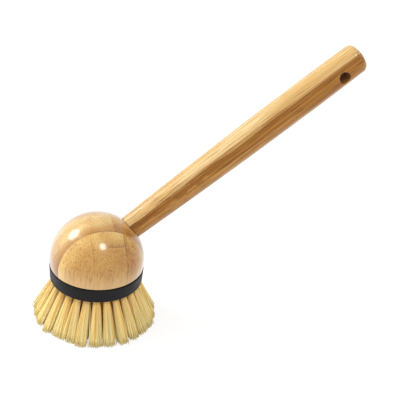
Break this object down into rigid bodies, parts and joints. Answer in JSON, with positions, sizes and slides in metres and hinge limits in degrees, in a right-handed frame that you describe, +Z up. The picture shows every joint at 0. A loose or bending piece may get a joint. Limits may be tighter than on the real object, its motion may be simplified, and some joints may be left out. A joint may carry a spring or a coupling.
{
  "type": "dish brush",
  "caption": "Dish brush with a laminated bamboo ball, a slanted turned handle with a hanging hole, and a screw-on black plate of flared fibre tufts.",
  "frame": {"origin": "middle of the flat plane of the trimmed bristle ends", "axes": "+Z up, +X towards the handle's side, +Y along the hanging hole"},
  "size_m": [0.1938, 0.071, 0.1459],
  "materials": {
    "bamboo_handle": "gloss",
    "bamboo_honey": "gloss",
    "bamboo_amber": "gloss",
    "insert_plastic": "matte",
    "gasket_rubber": "matte",
    "plate_plastic": "satin",
    "fibre": "matte",
    "anchor_steel": "satin"
  },
  "bodies": {
    "ball_and_handle": {"handle": "bamboo_handle", "ball_front_left": "bamboo_honey", "ball_front_middle": "bamboo_amber", "ball_front_right": "bamboo_honey", "ball_core_left": "bamboo_honey", "ball_core_right": "bamboo_amber", "ball_back_left": "bamboo_amber", "ball_back_right": "bamboo_honey", "thread_insert": "insert_plastic"},
    "gasket_ring": {"gasket": "gasket_rubber"},
    "bristle_head": {"bristle_plate": "plate_plastic", "outer_tuft_01": "fibre", "outer_tuft_02": "fibre", "outer_tuft_03": "fibre", "outer_tuft_04": "fibre", "outer_tuft_05": "fibre", "outer_tuft_06": "fibre", "outer_tuft_07": "fibre", "outer_tuft_08": "fibre", "outer_tuft_09": "fibre", "outer_tuft_10": "fibre", "outer_tuft_11": "fibre", "outer_tuft_12": "fibre", "outer_tuft_13": "fibre", "outer_tuft_14": "fibre", "outer_tuft_15": "fibre", "outer_tuft_16": "fibre", "outer_tuft_17": "fibre", "outer_tuft_18": "fibre", "outer_tuft_19": "fibre", "outer_tuft_20": "fibre", "outer_tuft_21": "fibre", "outer_tuft_22": "fibre", "outer_tuft_23": "fibre", "outer_tuft_24": "fibre", "outer_tuft_25": "fibre", "outer_tuft_26": "fibre", "second_tuft_01": "fibre", "second_tuft_02": "fibre", "second_tuft_03": "fibre", "second_tuft_04": "fibre", "second_tuft_05": "fibre", "second_tuft_06": "fibre", "second_tuft_07": "fibre", "second_tuft_08": "fibre", "second_tuft_09": "fibre", "second_tuft_10": "fibre", "second_tuft_11": "fibre", "second_tuft_12": "fibre", "second_tuft_13": "fibre", "second_tuft_14": "fibre", "second_tuft_15": "fibre", "second_tuft_16": "fibre", "second_tuft_17": "fibre", "second_tuft_18": "fibre", "second_tuft_19": "fibre", "second_tuft_20": "fibre", "inner_tufts": "fibre", "tuft_anchors": "anchor_steel"}
  },
  "joints": [
    {"name": "head_drop", "type": "slide", "parent": "ball_and_handle", "child": "gasket_ring", "axis": [0, 0, -1], "range_m": [0, 0.009]},
    {"name": "head_turn", "type": "hinge", "parent": "gasket_ring", "child": "bristle_head", "pos_m": [0, 0, 0.0316], "axis": [0, 0, -1], "range_deg": [0, 720]}
  ],
  "couplings": [
    {"joint": "head_drop", "follows": "head_turn", "m_per_rad": 0.0007162}
  ]
}
